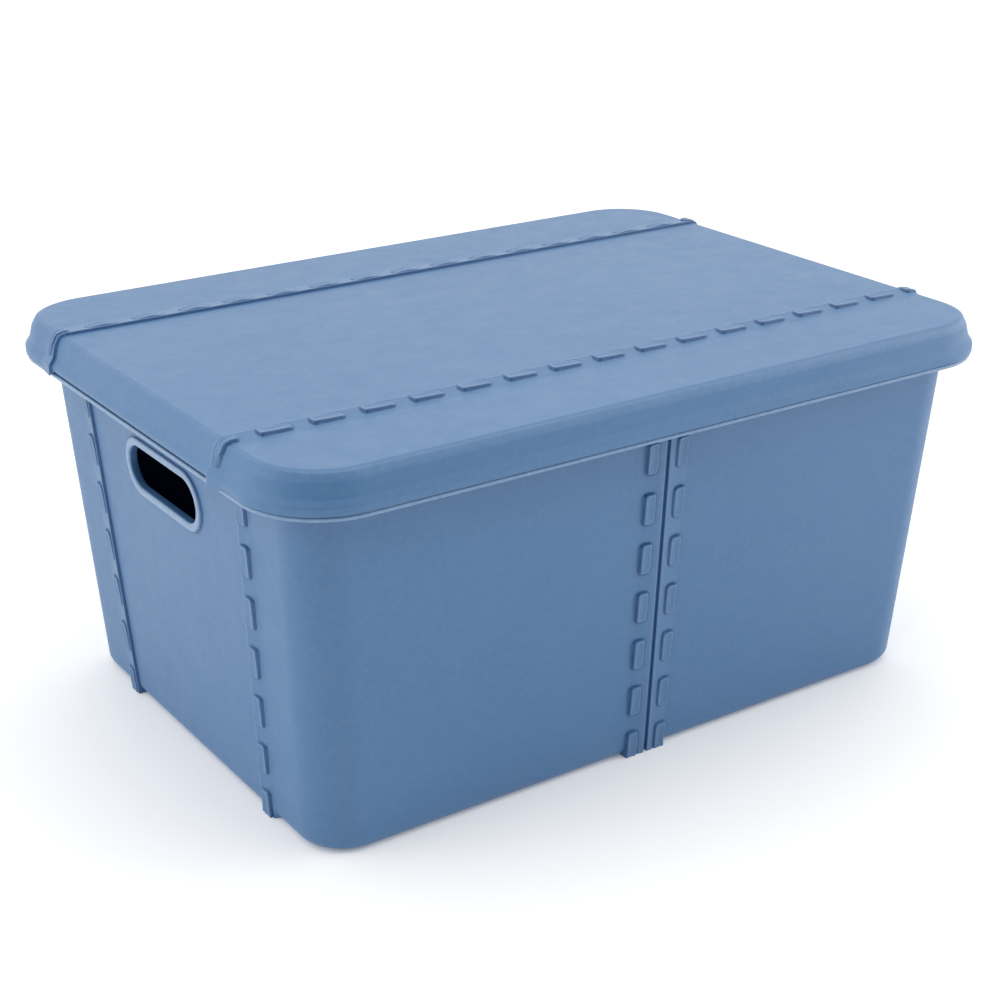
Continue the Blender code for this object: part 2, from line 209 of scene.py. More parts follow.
class Surface:
    """Patches of points with their painted highlight and painted shade, welded where their borders meet."""

    def __init__(self):
        self.points = []
        self.marks = []
        self.faces = []
        self.count = 0

    def patch(self, points, marks=None, closed=False):
        rows, columns = points.shape[:2]
        if marks is None:
            marks = np.zeros((rows, columns, 2))
        index = self.count + np.arange(rows * columns).reshape(rows, columns)
        if closed:
            index = np.concatenate((index, index[:, :1]), axis=1)
        quads = np.stack((index[:-1, :-1], index[1:, :-1], index[1:, 1:], index[:-1, 1:]), axis=-1)
        self.points.append(points.reshape(-1, 3))
        self.marks.append(marks.reshape(-1, 2))
        self.faces.append(quads.reshape(-1, 4))
        self.count += rows * columns

    def build(self, name):
        mesh = bpy.data.meshes.new(name)
        points = np.concatenate(self.points)
        marks = np.concatenate(self.marks)
        mesh.from_pydata(points.tolist(), [], np.concatenate(self.faces).tolist())
        # the two marks stored at the points: painted highlight and painted shade
        for i, label in enumerate(("edge", "painted_shade")):
            layer = mesh.attributes.new(label, 'FLOAT', 'POINT')
            layer.data.foreach_set("value", marks[:, i].astype(np.float32))
        bm = bmesh.new()
        bm.from_mesh(mesh)
        bmesh.ops.remove_doubles(bm, verts=bm.verts, dist=MERGE)
        bmesh.ops.dissolve_degenerate(bm, edges=bm.edges, dist=MERGE)
        bmesh.ops.recalc_face_normals(bm, faces=bm.faces)
        bm.to_mesh(mesh)
        bm.free()
        mesh.shade_smooth()
        thing = bpy.data.objects.new(name, mesh)
        bpy.context.scene.collection.objects.link(thing)
        weighted = thing.modifiers.new("even_shading", 'WEIGHTED_NORMAL')
        weighted.mode = 'FACE_AREA'
        weighted.weight = 50
        weighted.keep_sharp = True
        return thing


# Relief, as a height over the plain surface and two painted marks: a painted highlight on raised edges and
# painted shade in hollows

def line_shade(distance, middle, width):
    """1 on a line and falling to 0 on both sides of it."""
    return np.exp(-((distance - middle) / width) ** 2)


def pad(along, across, length, width, base, top):
    """A stitch on a base height, as height, its painted highlight, its painted shade and distance from its
    outline.

    Along and across are distances from its middle.
    """
    corner = STITCH_CORNER
    qx = np.abs(along) - length / 2 + corner
    qy = np.abs(across) - width / 2 + corner
    distance = np.hypot(np.maximum(qx, 0), np.maximum(qy, 0)) + np.minimum(np.maximum(qx, qy), 0) - corner
    inside = np.clip((FOOT - distance) / (CREST + FOOT), 0, 1)
    rise = np.sqrt(1 - (1 - inside) ** 2)
    moat = MOAT * np.where(distance > FOOT, line_shade(distance, FOOT, MOAT_WIDTH), 1 - rise)
    height = base - moat + np.maximum(top - base, 0) * rise
    stands = np.clip((top - base) / FULL_STAND, 0, 1)
    height = height - DISH * smooth(-distance, *DISH_EDGE) * stands
    # painted highlight along the stitch's rim and painted shade at its foot, fuller where it stands high
    edge = line_shade(distance, *STITCH_HIGHLIGHT) * stands
    painted_shade = line_shade(distance, *STITCH_SHADE) * (0.7 + 0.3 * stands)
    return height, edge, painted_shade, distance


def wedge(across):
    """A seam's band: 0 before the step, STEP at it, and falling to 0 over the band."""
    ramp = STEP * np.clip(1 - across / BAND, 0, 1)
    rounded_crest = STEP_CREST * 0.45 * np.clip(1 - across / STEP_CREST, 0, 1) ** 2
    height = (ramp - rounded_crest) * smooth(across, -STEP_SIDE, STEP_SIDE)
    # painted highlight on the step's rounded crest and painted shade at its foot
    edge = 1.2 * line_shade(across, *STEP_HIGHLIGHT)
    painted_shade = line_shade(across, *STEP_SHADE)
    return height, edge, painted_shade


def with_stitch(plain, stitch):
    """The relief of a seam with a stitch's relief where the stitch is near."""
    height, edge, painted_shade = plain
    near = stitch[3] < NEAR_STITCH
    return (np.where(near, stitch[0], height), np.where(near, np.maximum(edge, stitch[1]), edge),
            np.where(near, np.maximum(painted_shade, stitch[2]), painted_shade))


def uneven(x, y, z):
    """Slow unevenness between 0 and 1, from a few crossing waves."""
    waves = (np.sin(x * 41 + 1.3 * np.sin(y * 33) + 0.7) + np.sin(y * 57 - z * 38 + 1.1)
             + np.sin(z * 71 + x * 29 + 2.1))
    return 0.5 + waves / 6


# Lid

def lid_profile():
    """(reach beyond the flat, height) from the flat's edge round the lip to the inside of the top."""
    skirt = LID_FILLET + SKIRT_DRAFT
    lip = LID_FILLET + LIP_REACH
    flare_low = LID_BOTTOM + LIP_HEIGHT
    flare_high = flare_low + LIP_FLARE
    thin = 0.3 * MM            # how much lower the flare is on the inside
    corners = [((0.3 * MM, HEIGHT), 4.0 * MM),
               ((UPPER_REACH, HEIGHT - UPPER_DROP), 0.9 * MM),
               ((LOWER_REACH, HEIGHT - LOWER_DROP), 1.6 * MM),
               ((skirt, flare_high), 7.0 * MM),
               ((lip, flare_low), 1.8 * MM),
               ((lip, LID_BOTTOM), 0.9 * MM),
               ((lip - WALL, LID_BOTTOM), 0.8 * MM),
               ((lip - WALL, flare_low - thin), 1.0 * MM),
               ((skirt - WALL, flare_high - thin), 1.5 * MM),
               ((LID_FILLET - WALL, HEIGHT - LID_FILLET), 2.0 * MM),
               ((-WALL / 2, HEIGHT - WALL), 1.5 * MM)]
    first, last = (-3 * MM, HEIGHT), (-LID_CORNER, HEIGHT - WALL)
    outline = [first] + [corner for corner, _ in corners] + [last]
    return rounded(outline, [radius for _, radius in corners], steps=7)[1:]


def lid_end_x():
    """Lines along the lid in the part of the flat that is level with its corners."""
    last = LID_SIDE_STITCHES * LID_PITCH
    start = FLAT_HALF[0] - LID_CORNER
    fold = FLAT_HALF[0] - STITCH_WIDTH / 2 + EDGE_LINES
    found = lines([start, FLAT_HALF[0] - 1.2 * MM], both_ends(last, STITCH_LENGTH), fold)
    return found[(found >= start) & (found < FLAT_HALF[0] - 0.3 * MM)] - FLAT_HALF[0]


def lid_relief(x, y):
    """Height, painted highlight and painted shade at (x, y) on the flat: stitches lean on the front and bow
    on the back.
    """
    seam = wedge(np.abs(y) - LID_SEAM)
    number = np.clip(np.round(x / LID_PITCH), -LID_SIDE_STITCHES, LID_SIDE_STITCHES)
    along = x - number * LID_PITCH
    lean = FRONT_LEAN * smooth(along, -STITCH_LENGTH / 2, STITCH_LENGTH / 2)
    bow = BACK_BOW * smooth(np.abs(along), STITCH_LENGTH * 0.2, STITCH_LENGTH / 2)
    top = STITCH_TOP - LEVEL_GAP - np.where(y < 0, lean, bow)
    bend = LID_BEND * np.cos(along / STITCH_LENGTH * math.pi * 2)
    across = np.abs(y) - LID_STITCH_LINE + bend
    return with_stitch(seam, pad(along, across, STITCH_LENGTH, STITCH_WIDTH, seam[0], top))


def fold_relief(travel, length, across, base):
    """The stitch folded over the lid's end, by the travel along the outline from its upper end."""
    width = STITCH_WIDTH * (1 - FOLD_NARROWING * np.clip(travel / length, 0, 1))
    return pad(travel - length / 2, across, length, width, base, STITCH_TOP - FOLD_SUNK)


def worn_band(z):
    """Painted highlight on the band that the lid's upper edge turns through."""
    upper = smooth(HEIGHT - z, UPPER_DROP - 0.4 * MM, UPPER_DROP + 0.2 * MM)
    lower = smooth(z, HEIGHT - LOWER_DROP, HEIGHT - LOWER_DROP + 0.7 * MM)
    return BAND_HIGHLIGHT * upper * lower


def outline_normals(profile):
    """Outward normals of the profile, as (out, up) pairs."""
    run = np.gradient(profile, axis=0)
    length = np.maximum(np.hypot(run[:, 0], run[:, 1]), 1e-9)
    return np.stack((-run[:, 1] / length, run[:, 0] / length), axis=-1)


def lid_columns(half):
    """Lines along the lid between its corners."""
    numbers = range(-LID_SIDE_STITCHES + 1, LID_SIDE_STITCHES)
    found = lines([-half, half], *[both_ends(i * LID_PITCH, STITCH_LENGTH) for i in numbers])
    found = found[(found >= -half) & (found <= half)]
    found[-1] = half
    return found


def lid_rows(half):
    """Lines across the lid between its corners."""
    seam = lines(LID_SEAM + STEP_LINES, both_ends(LID_STITCH_LINE, STITCH_WIDTH),
                 [LID_SEAM + BAND, LID_SEAM + BAND + 2 * MM])
    plain = np.linspace(-LID_SEAM + 8 * MM, LID_SEAM - 8 * MM, 13)
    found = lines(seam, -seam, plain, [-half, half, half - 8 * MM, 8 * MM - half])
    return found[(found >= -half) & (found <= half)]


def lid_flat(surface, xs, ys):
    """The flat between the lid's corners, with its seams, and its underside."""
    x, y = np.meshgrid(xs, ys, indexing='ij')
    height, edge, painted_shade = lid_relief(x, y)
    dent = WAVE * uneven(x, y, 0 * x) * (np.abs(y) < LID_SEAM)
    dent = dent * smooth(ys[-1] - np.abs(y), 0, 15 * MM) * smooth(xs[-1] - np.abs(x), 0, 20 * MM)
    surface.patch(np.stack((x, y, HEIGHT + height - dent), axis=-1), np.stack((edge, painted_shade), axis=-1))
    surface.patch(np.stack((x, y, np.full_like(x, HEIGHT - WALL)), axis=-1))


def lip_change(reach, y, z, outside):
    """How far the lip's bottom edge moves: up between the seams, and down as a tab on each band."""
    side = np.abs(y) - LID_SEAM
    lip = LID_FILLET + LIP_REACH
    low = smooth(-z, -(LID_BOTTOM + LIP_HEIGHT), -(LID_BOTTOM + 1 * MM))
    on_band = smooth(side, -0.1 * MM, 1.2 * MM) * (1 - smooth(side, BAND - 4 * MM, BAND))
    tab = on_band * outside * smooth(reach, lip - 0.7 * MM, lip - 0.1 * MM)
    notch = smooth(-side, 0.1 * MM, 1.2 * MM)
    return low * (NOTCH_RISE * notch - (TAB_DROP - 0.1 * MM) * tab)


def lid_end(surface, end, ys, profile, flat_count):
    """One end of the lid from its flat round the lip to the inside, with the folded stitches."""
    normals = outline_normals(profile)
    normals[:flat_count] = (0, 1)
    normals[-1] = (0, -1)
    lip_end = last_outside(profile)
    travel = np.concatenate(([0], np.cumsum(np.hypot(*np.diff(profile, axis=0).T))))
    upper = slice(0, flat_count + 2)
    fold_start = np.interp(-STITCH_WIDTH / 2, profile[upper, 0], travel[upper])
    outer = slice(0, lip_end + 1)
    skirt_level = LID_BOTTOM + LIP_HEIGHT + LIP_FLARE + 1.2 * MM
    fold_end = np.interp(-skirt_level, -profile[outer, 1] + 1e-9 * travel[outer], travel[outer])

    index, y = np.meshgrid(np.arange(len(profile)), ys, indexing='ij')
    reach, z = profile[index, 0], profile[index, 1]
    along = FLAT_HALF[0] + reach
    outside = index <= lip_end
    band = wedge(np.abs(y) - LID_SEAM)
    plain = [np.where(index < flat_count, on_flat, beyond)
             for on_flat, beyond in zip(lid_relief(end * along, y), band)]
    across = np.abs(y) - LID_STITCH_LINE
    fold = fold_relief(travel[index] - fold_start, fold_end - fold_start, across, band[0])
    near = (fold[3] < NEAR_FOLD) & outside
    height = np.where(near, fold[0], plain[0]) * outside
    edge = np.where(near, np.maximum(plain[1], fold[1]), plain[1]) * outside
    painted_shade = np.where(near, np.maximum(plain[2], fold[2]), plain[2]) * outside
    x = end * (along + height * normals[index, 0])
    z = z + height * np.maximum(normals[index, 1], 0) + lip_change(reach, y, z, outside)
    surface.patch(np.stack((x, y, z), axis=-1), np.stack((edge, painted_shade), axis=-1))


def last_outside(profile):
    """Index of the profile's last point that is on the outside."""
    return int(np.argmax(np.abs(profile[:, 1] - LID_BOTTOM) < 1e-7))


def lid_side(surface, side, xs, profile):
    """One long side of the lid and its two corners."""
    numbers = np.arange(len(profile))
    outside = numbers <= last_outside(profile)
    x, index = np.meshgrid(xs, numbers, indexing='ij')
    reach, z = profile[index, 0], profile[index, 1]
    # painted highlight on the turn of the upper edge, on the long sides; round the corners it fades out
    # towards the ends
    shades = np.stack((worn_band(z) * outside, 0 * z), axis=-1)
    surface.patch(np.stack((x, side * (FLAT_HALF[1] + reach), z), axis=-1), shades)
    turn, index = np.meshgrid(QUARTER, numbers, indexing='ij')
    radius = LID_CORNER + profile[index, 0]
    z = profile[index, 1]
    shades = np.stack((worn_band(z) * outside * smooth(turn, 0.3, 1.3), 0 * z), axis=-1)
    centre = FLAT_HALF - LID_CORNER
    for end in (1, -1):
        x = end * (centre[0] + radius * np.cos(turn))
        y = side * (centre[1] + radius * np.sin(turn))
        surface.patch(np.stack((x, y, z), axis=-1), shades)


def build_lid():
    surface = Surface()
    flat_reach = lid_end_x()
    flat = np.stack((flat_reach, np.full(len(flat_reach), HEIGHT)), axis=-1)
    profile = np.concatenate((flat, lid_profile()))
    xs = lid_columns(FLAT_HALF[0] - LID_CORNER)
    ys = lid_rows(FLAT_HALF[1] - LID_CORNER)
    lid_flat(surface, xs, ys)
    for end in (1, -1):
        lid_end(surface, end, ys, profile, len(flat_reach))
    for side in (1, -1):
        lid_side(surface, side, xs, profile)
    return surface.build("lid_shell")


# Tub

def wall_half(z, inset=0.0):
    return MOUTH_HALF - TAPER * (BEAD_TOP - z) - inset


def foot_inset(z):
    drop = np.clip(FOOT_FILLET - z, 0, FOOT_FILLET)
    return FOOT_FILLET - np.sqrt(np.maximum(FOOT_FILLET ** 2 - drop ** 2, 0))


def side_columns():
    centre = SIDE_STITCH + STITCH_WIDTH / 2
    half = lines([0], GROOVE / 2 + STEP_LINES[2:], both_ends(centre, STITCH_WIDTH), [BAND, SIDE_FIXED],
                 np.linspace(SIDE_FIXED + 12 * MM, STRAIGHT[0] - 6 * MM, 9), [STRAIGHT[0]])
    return lines(-half, half)


def end_columns():
    centre = END_SEAM + STITCH_MARGIN + STITCH_WIDTH / 2
    bend = (GRIP_LENGTH - GRIP_HEIGHT) / 2
    grip = np.concatenate((np.linspace(0, bend, 7), np.linspace(bend, GRIP_LENGTH / 2 + 11 * MM, 9)))
    between = np.linspace(GRIP_LENGTH / 2 + 16 * MM, END_SEAM - 12 * MM, 4)
    half = lines(grip, between, END_FIXED, END_SEAM + STEP_LINES, both_ends(centre, STITCH_WIDTH),
                 [END_SEAM + BAND], [STRAIGHT[1] - 10 * MM, STRAIGHT[1]])
    return lines(-half, half)


def side_at(columns, straight):
    """Where the columns of a long wall stand on a ring with this straight half length."""
    anchors = np.array((-STRAIGHT[0], -SIDE_FIXED, SIDE_FIXED, STRAIGHT[0]))
    return np.interp(columns, anchors, (-straight, -SIDE_FIXED, SIDE_FIXED, straight))


def end_at(columns, straight, shift):
    """Where the columns of an end stand: its seams lean in by shift, and those near its grip stay."""
    low, high = END_FIXED
    grip = GRIP_LENGTH / 2 + 12 * MM
    half = np.array((grip, low, high, STRAIGHT[1]))
    placed = np.array((grip, low - shift, high - shift, straight))
    anchors = np.concatenate((-half[::-1], half))
    targets = np.concatenate((-placed[::-1], placed))
    return np.where(np.abs(columns) <= grip, columns, np.interp(columns, anchors, targets))


def seam_shift(z):
    """How far the seams of an end lean in at a height."""
    return TAPER * (BEAD_TOP - z)


def tub_levels():
    """Heights of the rows of the outer wall, from the floor up."""
    foot = FOOT_FILLET * (1 - np.cos(np.linspace(0, math.pi / 2, 8)))
    stitches = [both_ends(LOWEST_STITCH + i * TUB_PITCH, STITCH_LENGTH) for i in range(TUB_STITCHES)]
    upper = [BEAD_TOP, RIM_TOP - 6 * MM, RIM_TOP - WALL]
    found = lines([0.0], foot, [0.5 * MM], *stitches, upper, gap=0.15 * MM)
    return found[(found >= 0) & (found <= RIM_TOP - WALL)]


def stitch_row(z):
    """Height over the middle of the nearest stitch."""
    number = np.clip(np.round((z - LOWEST_STITCH) / TUB_PITCH), 0, TUB_STITCHES - 1)
    return z - LOWEST_STITCH - number * TUB_PITCH


def seam_relief(across, pad_across, z):
    """Height, painted highlight and painted shade of an upright seam, across its band and its stitches."""
    plain = wedge(across)
    along = stitch_row(z)
    lean = WALL_LEAN * smooth(-along, -STITCH_LENGTH / 2, STITCH_LENGTH / 2)
    bend = WALL_BEND * np.cos(along / STITCH_LENGTH * math.pi * 2)
    top = STITCH_TOP - LEVEL_GAP - lean
    relief = with_stitch(plain, pad(along, pad_across + bend, STITCH_LENGTH, STITCH_WIDTH, plain[0], top))
    shown = smooth(BEAD_TOP + 6 * MM - z, 0, 4 * MM)
    return [value * shown for value in relief]


def over_foot(height, z):
    """Relief with an upright foot: it stands where the plain wall curves away under it."""
    inset = foot_inset(z)
    raised = smooth(height, 0.0, 0.35 * MM)
    return np.where(height > 0, height * raised - inset * (1 - raised), height - inset)


def outer_walls(surface, columns_side, columns_end, levels):
    """The outside of the four walls and their corners, each with its strip of the underside."""
    halves = np.array([wall_half(z) for z in levels])
    inset = foot_inset(levels)
    for side in (1, -1):
        long_wall(surface, side, columns_side, levels, halves, inset)
    for end in (1, -1):
        end_wall(surface, end, columns_end, levels, halves, inset)
    for sx in (1, -1):
        for sy in (1, -1):
            wall_corner(surface, sx, sy, levels)


def long_wall(surface, side, columns, levels, halves, inset):
    x0, z = np.meshgrid(columns, levels, indexing='ij')
    straight = halves[:, 0] - TUB_CORNER - inset / 2
    x = np.stack([side_at(columns, half) for half in straight], axis=1)
    across = np.abs(x0) - GROOVE / 2
    height, edge, painted_shade = seam_relief(across, np.abs(x0) - SIDE_STITCH - STITCH_WIDTH / 2, z)
    # painted shade in the groove of the long wall's seam
    painted_shade = np.maximum(painted_shade, smooth(-across, -0.5 * MM, 0.1 * MM))
    plain = smooth(np.abs(x0), BAND, BAND + 25 * MM) * smooth(STRAIGHT[0] - np.abs(x0), 0, 20 * MM)
    plain = plain * smooth(z, 0, 20 * MM) * smooth(RIM_TOP - WALL - z, 0, 10 * MM)
    dent = WAVE * uneven(x, side * halves[None, :, 1], z) * plain
    y = side * (halves[None, :, 1] + over_foot(height, z) - dent)
    points = np.stack((x, y, z), axis=-1)
    surface.patch(points, np.stack((edge, painted_shade), axis=-1))
    inner = points[:, 0] * (1, 0, 1)
    inner[:, 1] = side * (halves[0, 1] - inset[0] - SOLE_EDGE)
    surface.patch(np.stack((points[:, 0], inner)))


def end_wall(surface, end, columns, levels, halves, inset):
    y0, z = np.meshgrid(columns, levels, indexing='ij')
    straight = halves[:, 1] - TUB_CORNER - inset / 2
    y = np.stack([end_at(columns, half, seam_shift(level)) for half, level in zip(straight, levels)], axis=1)
    across = np.abs(y0) - END_SEAM
    height, edge, painted_shade = seam_relief(across, across - STITCH_MARGIN - STITCH_WIDTH / 2, z)
    x = end * (halves[None, :, 0] + over_foot(height, z))
    points = np.stack((x, y, z), axis=-1)
    grip_hole(surface, points, np.stack((edge, painted_shade), axis=-1), columns, levels, end)
    inner = points[:, 0] * (0, 1, 1)
    inner[:, 0] = end * (halves[0, 0] - inset[0] - SOLE_EDGE)
    surface.patch(np.stack((points[:, 0], inner)))


def wall_corner(surface, sx, sy, levels):
    turn, z = np.meshgrid(QUARTER, levels, indexing='ij')
    inset = foot_inset(z)
    radius = TUB_CORNER - inset / 2
    half_x, half_y = (MOUTH_HALF[axis] - TAPER * (BEAD_TOP - z) - inset for axis in (0, 1))
    surface.patch(np.stack((sx * (half_x - radius + radius * np.cos(turn)),
                            sy * (half_y - radius + radius * np.sin(turn)), z), axis=-1))
    foot, turn = radius[0, 0], turn[:, 0]
    arcs = []
    for r in (foot, foot - SOLE_EDGE):
        arcs.append(np.stack((sx * (half_x[:, 0] - foot + r * np.cos(turn)),
                              sy * (half_y[:, 0] - foot + r * np.sin(turn)), z[:, 0]), axis=-1))
    surface.patch(np.stack(arcs))


def plate(surface, xs, ys, radius, z):
    """A flat rounded rectangle: columns along its straight sides and a radius at its corners."""
    def flat(x, y):
        surface.patch(np.stack((x, y, np.full_like(x, z)), axis=-1))

    band = (0, radius)
    flat(*np.meshgrid(xs, ys, indexing='ij'))
    turn, reach = np.meshgrid(QUARTER, band, indexing='ij')
    for side in (1, -1):
        along, out = np.meshgrid(xs, band, indexing='ij')
        flat(along, side * (ys[-1] + out))
        along, out = np.meshgrid(ys, band, indexing='ij')
        flat(side * (xs[-1] + out), along)
        for end in (1, -1):
            flat(end * (xs[-1] + reach * np.cos(turn)), side * (ys[-1] + reach * np.sin(turn)))


def grip_window(columns, levels):
    """Index ranges of the columns and rows round a grip that its own patch takes."""
    width = GRIP_LENGTH / 2 + GRIP_SIDE_ROOM
    height = GRIP_HEIGHT / 2 + GRIP_BAND + GRIP_EDGE_ROOM
    picked = np.flatnonzero(np.abs(columns) <= width)
    rows = np.flatnonzero(np.abs(levels - GRIP_LEVEL) <= height)
    return picked[0], picked[-1], rows[0], rows[-1]


def around_window(c0, c1, r0, r1):
    """Index pairs of the four patches round a window."""
    return ((slice(0, c0 + 1), slice(None)), (slice(c1, None), slice(None)),
            (slice(c0, c1 + 1), slice(0, r0 + 1)), (slice(c0, c1 + 1), slice(r1, None)))


def border(points, c0, c1, r0, r1):
    """The points round a window of a patch, in order."""
    bottom = points[c0:c1, r0]
    right = points[c1, r0:r1]
    top = points[c1:c0:-1, r1]
    left = points[c0, r1:r0:-1]
    return np.concatenate((bottom, right, top, left))


def stadium(around, grow):
    """For points round a grip, as (y, z), the nearest points of its outline grown by an amount."""
    reach = (GRIP_LENGTH - GRIP_HEIGHT) / 2
    middle = np.stack((np.clip(around[:, 0], -reach, reach), np.full(len(around), GRIP_LEVEL)), axis=-1)
    out = around - middle
    out = out / np.linalg.norm(out, axis=1)[:, None]
    return middle + out * (GRIP_HEIGHT / 2 + grow)


def ring_loops(surface, window, end, profile):
    """Loops from a window's border in to the grip: profile has (grow, out, painted highlight, painted shade)
    rows.
    """
    loops = [window]
    marks = [np.zeros((len(window), 2))]
    for grow, out, edge, painted_shade in profile:
        outline = stadium(window[:, 1:], grow)
        x = end * (MOUTH_HALF[0] - TAPER * (BEAD_TOP - outline[:, 1]) + out)
        loops.append(np.stack((x, outline[:, 0], outline[:, 1]), axis=-1))
        marks.append(np.tile((edge, painted_shade), (len(window), 1)))
    surface.patch(np.stack(loops), np.stack(marks), closed=True)


def grip_profile():
    """The raised ring from the plain wall over its crown, in through the sleeve to its inner end."""
    crown = GRIP_RISE - LEVEL_GAP
    thick = GRIP_BAND - LEVEL_GAP
    corners = [((GRIP_BAND, 0), 0.35 * MM), ((GRIP_BAND - 0.7 * MM, crown), 1.3 * MM), ((0, crown), 1.6 * MM),
               ((0, -GRIP_SLEEVE), 0.8 * MM), ((thick, -GRIP_SLEEVE), 0.8 * MM)]
    outline = [(GRIP_BAND + 2 * MM, 0)] + [corner for corner, _ in corners] + [(thick, -WALL)]
    rows = []
    for grow, out in rounded(outline, [radius for _, radius in corners], steps=6):
        # painted highlight on the ring's crown, painted shade at its foot and inside the sleeve
        edge = 2.0 * smooth(out, 0.6 * MM, 1.4 * MM)
        painted_shade = line_shade(grow, GRIP_BAND + 0.2 * MM, 0.7 * MM) * (0 <= out < 0.9 * MM)
        painted_shade = max(painted_shade, 0.8 * smooth(-out, 0.5 * MM, 2.0 * MM))
        rows.append((grow, out, edge, painted_shade))
    return rows


def grip_hole(surface, points, marks, columns, levels, end):
    """An end wall's patch with its grip's window left out and the ring and sleeve set in."""
    c0, c1, r0, r1 = grip_window(columns, levels)
    for cut in around_window(c0, c1, r0, r1):
        surface.patch(points[cut], marks[cut])
    ring_loops(surface, border(points, c0, c1, r0, r1), end, grip_profile())


def ring_around(surface, columns_side, columns_end, sections):
    """Rings round the whole tub: sections has (half sizes, corner, height, seam shift, painted highlight,
    painted shade).
    """
    rows = []
    marks = []
    turn = QUARTER[1:-1]
    for half, corner, z, shift, edge, painted_shade in sections:
        x = side_at(columns_side, half[0] - corner)
        y = end_at(columns_end, half[1] - corner, shift)
        # The right end, the back wall, the left end and the front wall, each followed by its corner
        runs = []
        for quarter, (sx, sy) in enumerate(((1, 1), (-1, 1), (-1, -1), (1, -1))):
            if quarter % 2 == 0:
                runs.append(np.stack((np.full(len(y), sx * half[0]), sx * y), axis=-1))
            else:
                runs.append(np.stack((sx * x, np.full(len(x), sy * half[1])), axis=-1))
            angle = turn + quarter * math.pi / 2
            centre = np.array((sx, sy)) * (half - corner)
            runs.append(centre + corner * np.stack((np.cos(angle), np.sin(angle)), axis=-1))
        ring = np.concatenate(runs)
        rows.append(np.column_stack((ring, np.full(len(ring), z))))
        marks.append(np.tile((edge, painted_shade), (len(ring), 1)))
    surface.patch(np.stack(rows), np.stack(marks), closed=True)


def rim_sections():
    """The rim's rings: the channel's ceiling and outer wall, the bead, and over the top to the inner wall."""
    ceiling = RIM_TOP - WALL
    rim = RIM_HALF[0] - MOUTH_HALF[0]
    flat = FLAT_HALF[0] - MOUTH_HALF[0]
    bead_low = BEAD_TOP - RIM_BEAD

    def wall(z):
        return TAPER * (z - BEAD_TOP)

    corners = [((flat - 2 * WALL, ceiling), 1.5 * MM),
               ((rim - WALL, HEIGHT - LID_FILLET - WALL), 2.0 * MM),
               ((rim - WALL, bead_low), 1.0 * MM),
               ((OVERHANG, bead_low), 1.15 * MM),
               ((OVERHANG, BEAD_HIGH), 1.1 * MM),
               ((rim + WALL, BEAD_HIGH), 1.5 * MM),
               ((rim, BEAD_TOP + WALL), 2.0 * MM),
               ((rim, HEIGHT - LID_FILLET - 0.3 * MM), 2.5 * MM),
               ((flat - WALL / 2 - SIDE_FIT, RIM_TOP), 2.5 * MM),
               ((wall(RIM_TOP) - WALL, RIM_TOP), 1.1 * MM)]
    lowest = RIM_TOP - INNER_START
    outline = [(wall(ceiling), ceiling)] + [corner for corner, _ in corners] + [(wall(lowest) - WALL, lowest)]
    outline = rounded(outline, [radius for _, radius in corners], steps=6)
    sections = []
    for reach, z in outline:
        corner = np.interp(reach, (wall(RIM_TOP) - WALL, wall(ceiling), rim, OVERHANG),
                           (TUB_CORNER - WALL, TUB_CORNER, RIM_CORNER, BEAD_CORNER))
        shift = seam_shift(z) if reach <= wall(ceiling) + 1e-9 else 0.0
        # painted highlight along the bead
        bead_highlight = 2.0 * (reach > OVERHANG - 1.4 * MM) * (z > bead_low + 0.3 * MM)
        sections.append((MOUTH_HALF + reach, corner, z, shift, bead_highlight, 0.0))
    return sections


def inner_walls(surface, columns_side, columns_end, levels):
    """The inside of the walls and the floor, with the windows of the grips left open."""
    c0, c1, r0, r1 = grip_window(columns_end, levels)
    radius = FOOT_FILLET - WALL
    turns = np.linspace(0, math.pi / 2, 7)
    foot = WALL + radius * (1 - np.cos(turns))
    rows = lines(foot, np.linspace(foot[-1] + 12 * MM, levels[r0] - 8 * MM, 9), levels[r0:r1 + 1],
                 [levels[r1] + 12 * MM, RIM_TOP - INNER_START], gap=0.05 * MM)
    drop = np.clip(WALL + radius - rows, 0, radius)
    inset = radius - np.sqrt(radius ** 2 - drop ** 2)
    corner = TUB_CORNER - WALL - inset / 2
    half_x, half_y = (MOUTH_HALF[axis] - TAPER * (BEAD_TOP - rows) - WALL - inset for axis in (0, 1))
    xs = np.stack([side_at(columns_side, v) for v in half_x - corner], axis=1)
    ys = np.stack([end_at(columns_end, v, seam_shift(z)) for v, z in zip(half_y - corner, rows)], axis=1)
    low = int(np.argmin(np.abs(rows - levels[r0])))
    high = int(np.argmin(np.abs(rows - levels[r1])))
    turn, row = np.meshgrid(QUARTER, np.arange(len(rows)), indexing='ij')
    reach = corner[row]
    for side in (1, -1):
        surface.patch(np.stack(np.broadcast_arrays(xs, side * half_y, rows), axis=-1))
        points = np.stack(np.broadcast_arrays(side * half_x, ys, rows), axis=-1)
        for cut in around_window(c0, c1, low, high):
            surface.patch(points[cut])
        sleeve_foot = (GRIP_BAND - LEVEL_GAP, -WALL, 0.0, 0.0)
        ring_loops(surface, border(points, c0, c1, low, high), side, [sleeve_foot])
        for end in (1, -1):
            surface.patch(np.stack((end * (half_x[row] - reach + reach * np.cos(turn)),
                                    side * (half_y[row] - reach + reach * np.sin(turn)), rows[row]), axis=-1))
    plate(surface, xs[:, 0], ys[:, 0], corner[0], rows[0])


def build_tub():
    surface = Surface()
    columns_side = side_columns()
    columns_end = end_columns()
    levels = tub_levels()
    outer_walls(surface, columns_side, columns_end, levels)
    inset = foot_inset(0.0)
    straight = wall_half(0.0) - TUB_CORNER - inset / 2
    plate(surface, side_at(columns_side, straight[0]), end_at(columns_end, straight[1], seam_shift(0.0)),
          TUB_CORNER - inset / 2 - SOLE_EDGE, 0.0)
    ring_around(surface, columns_side, columns_end, rim_sections())
    inner_walls(surface, columns_side, columns_end, levels)
    return surface.build("tub_shell")
